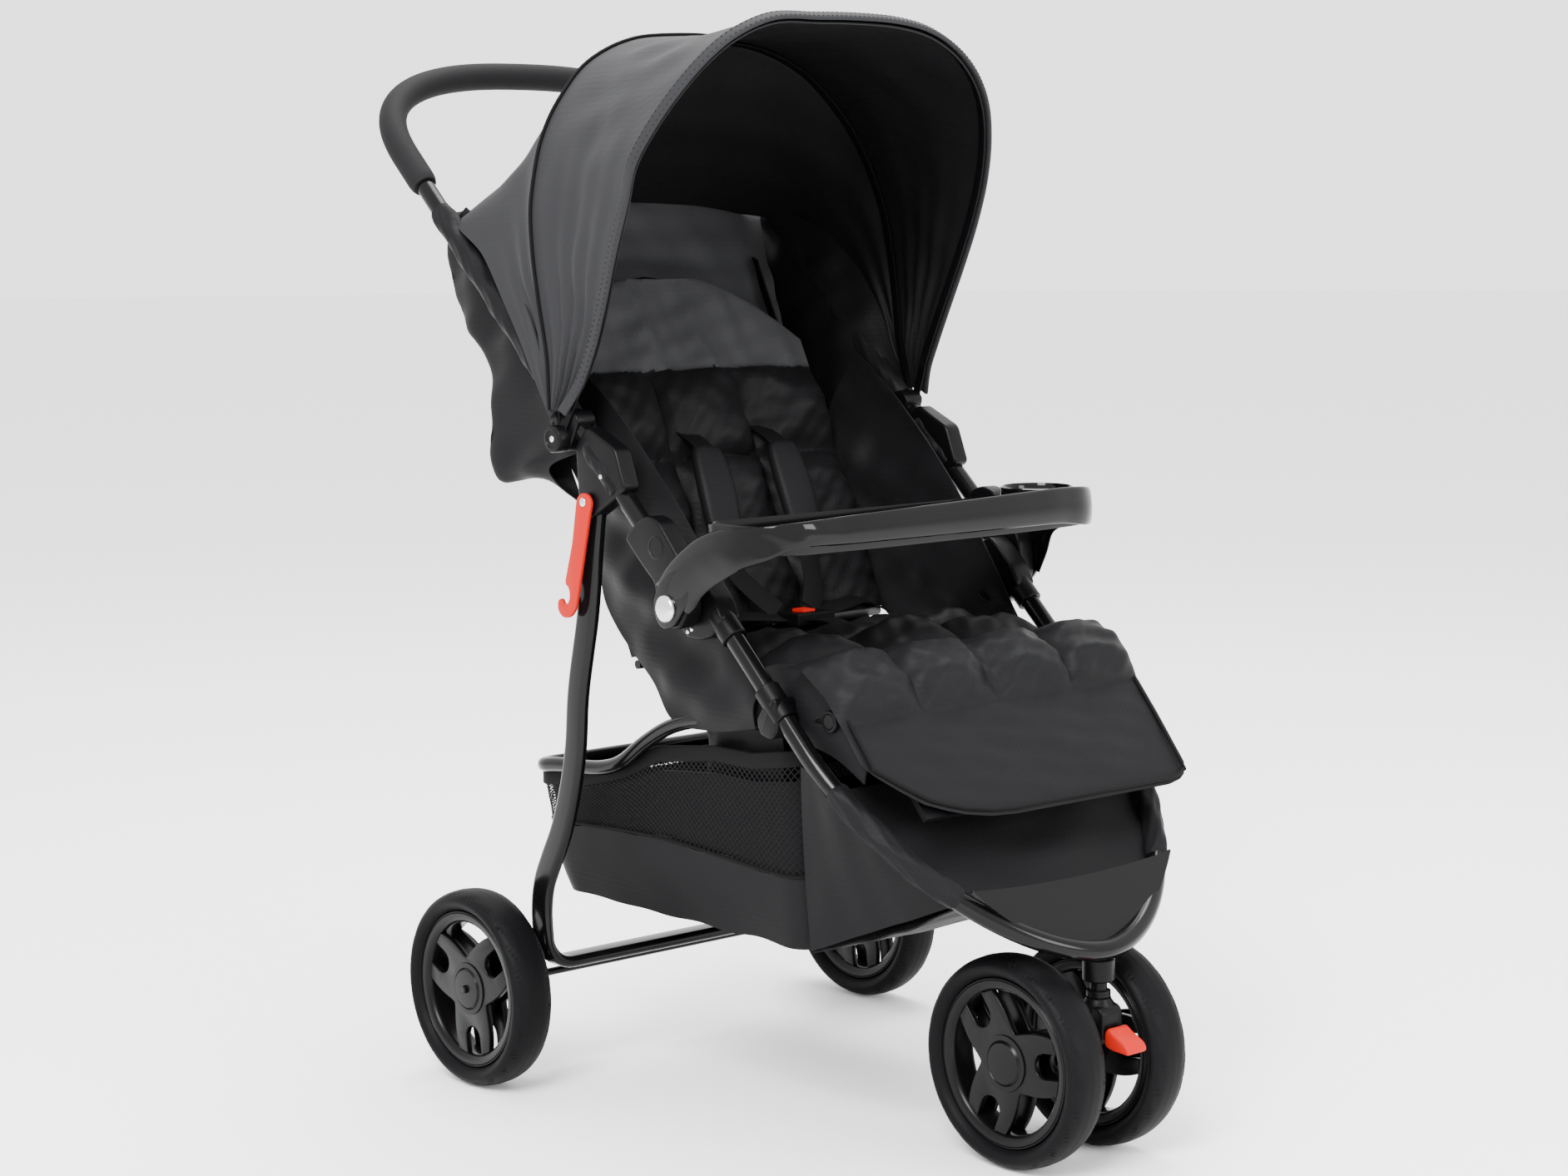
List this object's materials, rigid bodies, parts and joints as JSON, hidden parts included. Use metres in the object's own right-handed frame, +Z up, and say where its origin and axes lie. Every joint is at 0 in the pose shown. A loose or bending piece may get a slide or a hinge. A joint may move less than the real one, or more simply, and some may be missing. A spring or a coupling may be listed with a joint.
{
  "type": "three-wheel stroller",
  "caption": "Folding pushchair with a swivelling twin front wheel, padded reclining seat, hood, tray, leg-rest and under-seat basket",
  "frame": {"origin": "on the floor under the middle of the whole stroller's box", "axes": "+Z up, +X to the seated child's left, -Y the way the stroller faces"},
  "size_m": [0.5746, 0.9386, 1.0673],
  "materials": {
    "black_paint": "gloss black paint on steel tube",
    "steel": "bright plated steel",
    "red_plastic": "moulded red plastic",
    "tyre": "dull dark grey foam rubber",
    "rim": "satin black moulding",
    "foam": "dull black foam",
    "cloth": "woven charcoal cloth",
    "gloss": "polished black plastic",
    "plastic": "fine-grained black plastic"
  },
  "bodies": {
    "rear_legs": {"rear_leg_frame": "black_paint", "rear_axle": "steel", "axle_housing_right": "plastic", "axle_housing_left": "plastic"},
    "handle_frame": {"handle_tube": "black_paint", "handle_grip": "foam", "upper_casing_right": "plastic", "upper_casing_left": "plastic", "leg_bracket_right": "plastic", "leg_bracket_left": "plastic", "canopy_clamp_right": "plastic", "canopy_clamp_left": "plastic", "pivot_rivet_right": "steel", "pivot_rivet_left": "steel", "tray_mount_right": "gloss", "tray_mount_left": "gloss"},
    "fold_release_right": {"fold_release_button_right": "plastic"},
    "fold_release_left": {"fold_release_button_left": "plastic"},
    "front_frame": {"front_tube": "black_paint", "footrest_plate": "plastic", "swivel_housing": "plastic", "lower_casing_right": "plastic", "lower_casing_left": "plastic", "seat_bracket_right": "plastic", "seat_bracket_left": "plastic"},
    "seat_frame": {"seat_loop": "black_paint", "seat_board": "plastic", "seat_cushion": "cloth", "basket": "cloth", "harness_buckle": "plastic"},
    "buckle_release": {"buckle_button": "red_plastic"},
    "backrest": {"back_hinge_rod": "steel", "back_board": "plastic", "back_cushion": "cloth"},
    "leg_rest": {"legrest_board": "plastic", "legrest_pad": "cloth"},
    "legrest_release_right": {"legrest_knob_right": "plastic"},
    "legrest_release_left": {"legrest_knob_left": "plastic"},
    "canopy_mid": {"canopy_mid_bow": "plastic", "canopy_hood": "cloth"},
    "canopy_front": {"canopy_front_bow": "plastic"},
    "tray": {"tray": "gloss"},
    "hook": {"transport_hook": "red_plastic"},
    "caster": {"caster_fork": "plastic", "front_axle": "steel"},
    "swivel_lock": {"swivel_lock_lever": "red_plastic"},
    "front_wheel_right": {"front_tyre_right": "tyre", "front_rim_right": "rim"},
    "front_wheel_left": {"front_tyre_left": "tyre", "front_rim_left": "rim"},
    "rear_wheel_right": {"rear_tyre_right": "tyre", "rear_rim_right": "rim"},
    "rear_wheel_left": {"rear_tyre_left": "tyre", "rear_rim_left": "rim"},
    "brake_right": {"brake_pedal_right": "red_plastic"},
    "brake_left": {"brake_pedal_left": "red_plastic"}
  },
  "joints": [
    {"name": "fold", "type": "hinge", "parent": "handle_frame", "child": "front_frame", "pos_m": [0, -0.08765, 0.51], "axis": [1, 0, 0], "range_deg": [0, 130]},
    {"name": "handle_turn", "type": "hinge", "parent": "rear_legs", "child": "handle_frame", "pos_m": [0, 0.04135, 0.601], "axis": [1, 0, 0], "range_deg": [-84, 0]},
    {"name": "seat_turn", "type": "hinge", "parent": "front_frame", "child": "seat_frame", "pos_m": [0, -0.19565, 0.411], "axis": [1, 0, 0], "range_deg": [-85, 0], "deforming": ["basket"]},
    {"name": "recline", "type": "hinge", "parent": "seat_frame", "child": "backrest", "pos_m": [0, 0.04735, 0.435], "axis": [1, 0, 0], "range_deg": [-65, 0]},
    {"name": "legrest_tilt", "type": "hinge", "parent": "seat_frame", "child": "leg_rest", "pos_m": [0, -0.25765, 0.418], "axis": [1, 0, 0], "range_deg": [-25, 15], "deforming": ["legrest_pad"]},
    {"name": "canopy_mid_turn", "type": "hinge", "parent": "handle_frame", "child": "canopy_mid", "pos_m": [0, 0.07925, 0.6603], "axis": [1, 0, 0], "range_deg": [-28, 0], "deforming": ["canopy_hood"]},
    {"name": "canopy_front_turn", "type": "hinge", "parent": "canopy_mid", "child": "canopy_front", "pos_m": [0, 0.07925, 0.6603], "axis": [1, 0, 0], "range_deg": [-34, 0]},
    {"name": "hook_swing", "type": "hinge", "parent": "rear_legs", "child": "hook", "pos_m": [0, 0.04135, 0.601], "axis": [1, 0, 0], "range_deg": [-60, 0]},
    {"name": "swivel_lock_flip", "type": "hinge", "parent": "caster", "child": "swivel_lock", "pos_m": [0, -0.44165, 0.133], "axis": [1, 0, 0], "range_deg": [-25, 0]},
    {"name": "fold_release_right_press", "type": "slide", "parent": "handle_frame", "child": "fold_release_right", "axis": [1, 0, 0], "range_m": [0, 0.003], "stiffness_N_per_m": 400, "springref_m": -0.004},
    {"name": "legrest_release_right_press", "type": "slide", "parent": "seat_frame", "child": "legrest_release_right", "axis": [1, 0, 0], "range_m": [0, 0.0022], "stiffness_N_per_m": 400, "springref_m": -0.004},
    {"name": "brake_right_press", "type": "hinge", "parent": "rear_legs", "child": "brake_right", "pos_m": [-0.22, 0.19935, 0.129], "axis": [1, 0, 0], "range_deg": [-16, 0]},
    {"name": "front_roll_right", "type": "hinge", "parent": "caster", "child": "front_wheel_right", "pos_m": [-0.054, -0.36605, 0.1], "axis": [1, 0, 0], "continuous": true},
    {"name": "rear_roll_right", "type": "hinge", "parent": "rear_legs", "child": "rear_wheel_right", "pos_m": [-0.2644, 0.18735, 0.1], "axis": [1, 0, 0], "continuous": true},
    {"name": "fold_release_left_press", "type": "slide", "parent": "handle_frame", "child": "fold_release_left", "axis": [-1, 0, 0], "range_m": [0, 0.003], "stiffness_N_per_m": 400, "springref_m": -0.004},
    {"name": "legrest_release_left_press", "type": "slide", "parent": "seat_frame", "child": "legrest_release_left", "axis": [-1, 0, 0], "range_m": [0, 0.0022], "stiffness_N_per_m": 400, "springref_m": -0.004},
    {"name": "brake_left_press", "type": "hinge", "parent": "rear_legs", "child": "brake_left", "pos_m": [0.22, 0.19935, 0.129], "axis": [1, 0, 0], "range_deg": [-16, 0]},
    {"name": "front_roll_left", "type": "hinge", "parent": "caster", "child": "front_wheel_left", "pos_m": [0.054, -0.36605, 0.1], "axis": [1, 0, 0], "continuous": true},
    {"name": "rear_roll_left", "type": "hinge", "parent": "rear_legs", "child": "rear_wheel_left", "pos_m": [0.2644, 0.18735, 0.1], "axis": [1, 0, 0], "continuous": true},
    {"name": "caster_swivel", "type": "hinge", "parent": "front_frame", "child": "caster", "pos_m": [0, -0.41965, 0.14], "axis": [0, 0, 1], "continuous": true},
    {"name": "tray_pull", "type": "slide", "parent": "handle_frame", "child": "tray", "axis": [0, 0.777, -0.6295], "range_m": [-0.06, 0]},
    {"name": "buckle_press", "type": "slide", "parent": "seat_frame", "child": "buckle_release", "axis": [0, 0, -1], "range_m": [0, 0.002], "stiffness_N_per_m": 400, "springref_m": -0.004}
  ],
  "couplings": [
    {"joint": "handle_turn", "follows": "fold", "ratio": -0.64},
    {"joint": "seat_turn", "follows": "fold", "ratio": -0.65}
  ]
}
